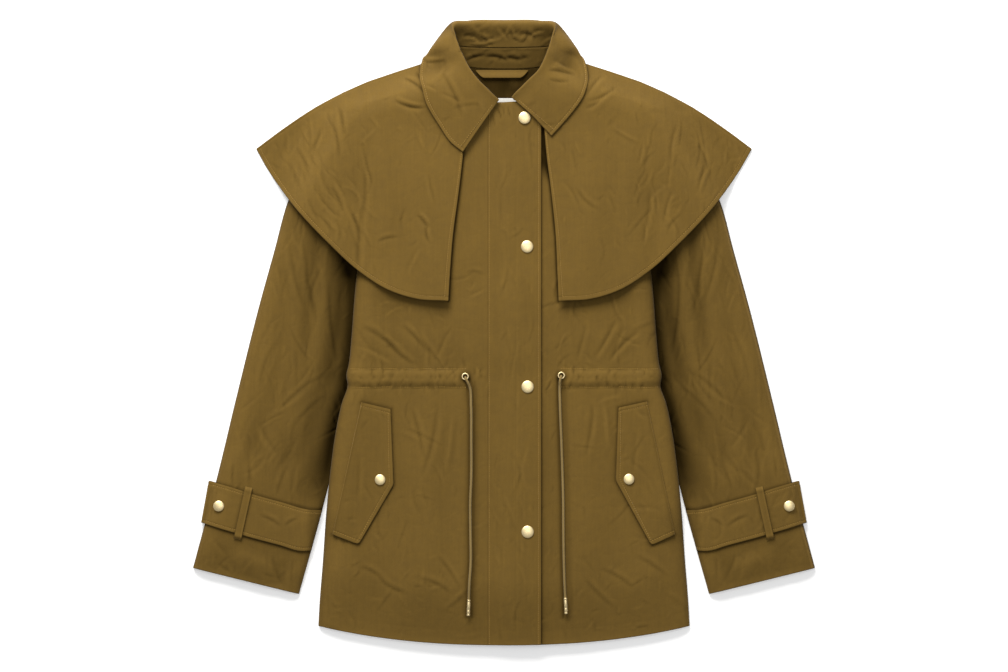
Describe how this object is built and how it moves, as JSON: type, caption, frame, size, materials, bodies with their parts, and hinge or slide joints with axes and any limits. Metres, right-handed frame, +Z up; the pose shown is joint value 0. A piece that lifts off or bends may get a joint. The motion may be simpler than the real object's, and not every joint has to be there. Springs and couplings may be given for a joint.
{
  "type": "parka with storm cape, laid flat",
  "caption": "Short cotton parka laid flat: storm cape over the shoulders, shirt collar, snap placket, drawcord waist, slanted pocket flaps and strapped cuffs.",
  "frame": {"origin": "middle of the laid garment's outline, on the surface it lies on", "axes": "+Z up from the surface, +Y from hem to collar, +X towards the wearer's left"},
  "size_m": [0.8392, 0.8432, 0.0382],
  "materials": {
    "cotton": "dense olive-brown cotton with a low sheen and fine creases",
    "cording": "round braided cord",
    "brass": "pale polished brass",
    "white_tape": "plain white woven tape, blank"
  },
  "bodies": {
    "root": {"back_panel": "cotton", "front_right": "cotton", "front_left": "cotton", "front_placket": "cotton", "sleeve_right_top": "cotton", "sleeve_left_top": "cotton", "sleeve_right_under": "cotton", "sleeve_left_under": "cotton", "cuff_strap_right": "cotton", "cuff_strap_left": "cotton", "cuff_loop_right": "cotton", "cuff_loop_left": "cotton", "pocket_flap_right": "cotton", "pocket_flap_left": "cotton", "collar_stand": "cotton", "collar_leaf": "cotton", "cape_front_right": "cotton", "cape_front_left": "cotton", "cape_back": "cotton", "hanger_loop": "cotton", "neck_label": "white_tape", "snap_front_1": "brass", "snap_front_2": "brass", "snap_front_3": "brass", "snap_front_4": "brass", "snap_pocket_right": "brass", "snap_pocket_left": "brass", "snap_cuff_right": "brass", "snap_cuff_left": "brass", "eyelet_right": "brass", "eyelet_left": "brass", "drawcord_right": "cording", "drawcord_left": "cording", "ferrule_right": "brass", "ferrule_left": "brass"}
  },
  "joints": []
}
